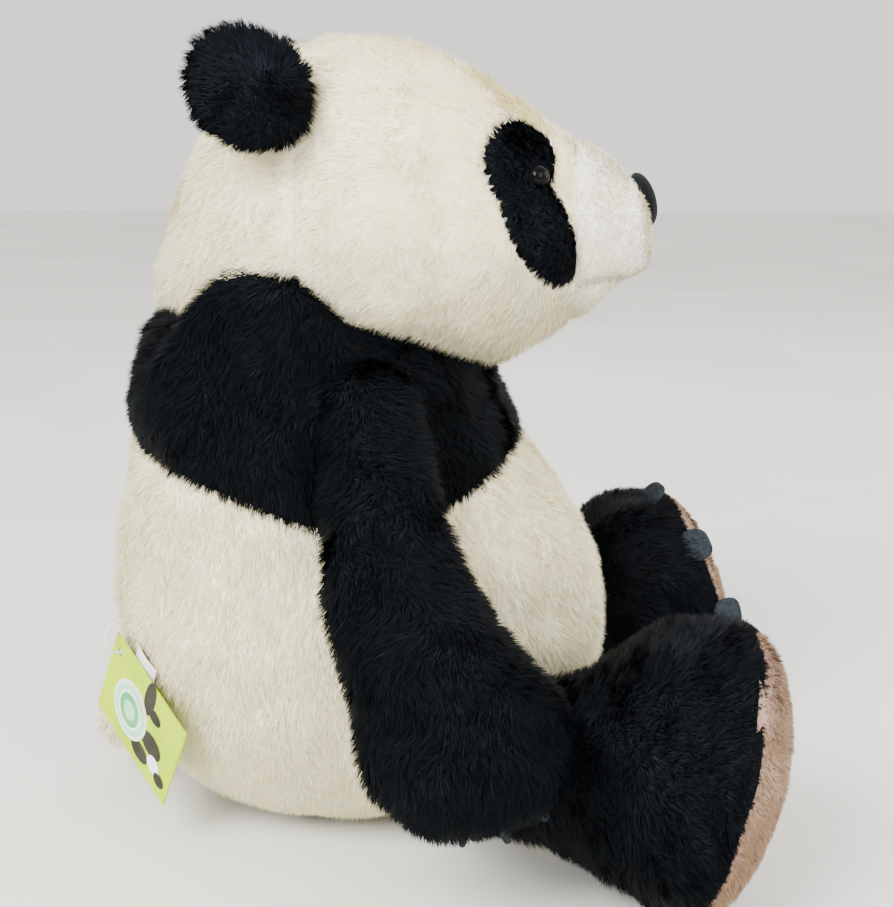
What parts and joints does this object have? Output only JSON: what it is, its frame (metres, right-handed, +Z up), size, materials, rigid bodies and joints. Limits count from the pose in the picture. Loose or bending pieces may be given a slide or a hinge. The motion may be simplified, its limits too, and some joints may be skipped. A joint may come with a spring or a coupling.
{
  "type": "plush panda",
  "caption": "Sitting plush panda with stuffed torso, sewn-on head, ears, arms and legs that bend at their seams, felt claws and a swing tag.",
  "frame": {"origin": "middle of the flat underside of the seat, on the surface the panda sits on", "axes": "+Z up, the panda faces -Y, its own right side is -X"},
  "size_m": [0.3231, 0.3035, 0.3335],
  "materials": {
    "cream_plush": "short dense pile, ivory",
    "white_plush": "shorter dense pile, off-white",
    "black_plush": "short dense pile, black",
    "tan_plush": "very short velvet pile, tan",
    "grey_felt": "cut felt, grey",
    "fibre_fill": "polyester fibre filling",
    "pellet_bag": "thin cloth bag of plastic pellets",
    "label_tape": "satin tape",
    "fastener_plastic": "thin clear nylon loop",
    "thread": "dark sewing thread",
    "nose_cloth": "smooth dark cloth with a soft sheen",
    "eye_gloss": "glossy black",
    "washer_plastic": "white nylon",
    "tag_card": "coated card, yellow-green",
    "sticker_paper": "glossy paper, pale green"
  },
  "bodies": {
    "torso": {"torso_cover": "cream_plush", "yoke_cover": "black_plush", "torso_stuffing": "fibre_fill", "pellet_bag": "pellet_bag", "tail": "cream_plush", "care_label": "label_tape", "tag_fastener": "fastener_plastic"},
    "neck": {"neck_stuffing": "fibre_fill"},
    "head": {"face_cover": "cream_plush", "back_head_cover": "cream_plush", "muzzle_cover": "white_plush", "chin_cover": "white_plush", "mouth_stitching": "thread", "head_stuffing": "fibre_fill", "nose": "nose_cloth", "eye_right": "eye_gloss", "eye_left": "eye_gloss", "eye_washer_right": "washer_plastic", "eye_washer_left": "washer_plastic", "eye_patch_right": "black_plush", "eye_patch_left": "black_plush"},
    "ear_right": {"ear_front_right": "black_plush", "ear_back_right": "black_plush"},
    "ear_left": {"ear_front_left": "black_plush", "ear_back_left": "black_plush"},
    "swing_tag": {"swing_tag": "tag_card", "tag_sticker": "sticker_paper"},
    "shoulder_right": {"arm_root_stuffing_right": "fibre_fill"},
    "arm_right": {"arm_cover_right": "black_plush", "arm_stuffing_right": "fibre_fill", "paw_claws_right": "grey_felt"},
    "leg_right": {"leg_cover_right": "black_plush", "leg_stuffing_right": "fibre_fill", "sole_right": "tan_plush", "toe_claws_right": "grey_felt"},
    "shoulder_left": {"arm_root_stuffing_left": "fibre_fill"},
    "arm_left": {"arm_cover_left": "black_plush", "arm_stuffing_left": "fibre_fill", "paw_claws_left": "grey_felt"},
    "leg_left": {"leg_cover_left": "black_plush", "leg_stuffing_left": "fibre_fill", "sole_left": "tan_plush", "toe_claws_left": "grey_felt"}
  },
  "joints": [
    {"name": "neck_turn", "type": "hinge", "parent": "torso", "child": "neck", "pos_m": [0, 0.014, 0.157], "axis": [0, 0, 1], "range_deg": [-20, 20], "stiffness_Nm_per_rad": 2},
    {"name": "neck_nod", "type": "hinge", "parent": "neck", "child": "head", "pos_m": [0, 0.014, 0.157], "axis": [1, 0, 0], "range_deg": [-8, 8], "stiffness_Nm_per_rad": 4},
    {"name": "ear_fold_right", "type": "hinge", "parent": "head", "child": "ear_right", "pos_m": [-0.061, 0.003, 0.306], "axis": [0.449, 0.0998, 0.888], "range_deg": [-12, 20], "stiffness_Nm_per_rad": 0.05},
    {"name": "ear_fold_left", "type": "hinge", "parent": "head", "child": "ear_left", "pos_m": [0.061, 0.003, 0.306], "axis": [0.449, -0.0998, -0.888], "range_deg": [-12, 20], "stiffness_Nm_per_rad": 0.05},
    {"name": "arm_lift_right", "type": "hinge", "parent": "torso", "child": "shoulder_right", "pos_m": [-0.072, -0.019, 0.188], "axis": [-0.7071, 0.7071, 0], "range_deg": [0, 75], "stiffness_Nm_per_rad": 0.05},
    {"name": "arm_swing_right", "type": "hinge", "parent": "shoulder_right", "child": "arm_right", "pos_m": [-0.072, -0.019, 0.188], "axis": [-1, 0, 0], "range_deg": [-35, 0], "stiffness_Nm_per_rad": 0.3},
    {"name": "leg_lift_right", "type": "hinge", "parent": "torso", "child": "leg_right", "pos_m": [-0.066, -0.044, 0.046], "axis": [-0.9563, 0.2924, 0], "range_deg": [0, 13], "stiffness_Nm_per_rad": 0.3},
    {"name": "arm_lift_left", "type": "hinge", "parent": "torso", "child": "shoulder_left", "pos_m": [0.072, -0.019, 0.188], "axis": [-0.7071, -0.7071, 0], "range_deg": [0, 75], "stiffness_Nm_per_rad": 0.05},
    {"name": "arm_swing_left", "type": "hinge", "parent": "shoulder_left", "child": "arm_left", "pos_m": [0.072, -0.019, 0.188], "axis": [-1, 0, 0], "range_deg": [-35, 0], "stiffness_Nm_per_rad": 0.3},
    {"name": "leg_lift_left", "type": "hinge", "parent": "torso", "child": "leg_left", "pos_m": [0.066, -0.044, 0.046], "axis": [-0.9563, -0.2924, 0], "range_deg": [0, 13], "stiffness_Nm_per_rad": 0.3},
    {"name": "tag_swing", "type": "hinge", "parent": "torso", "child": "swing_tag", "pos_m": [-0.05021, 0.08991, 0.07884], "axis": [-0.6801, 0.7331, 0], "range_deg": [-15, 8], "stiffness_Nm_per_rad": 0.004}
  ]
}
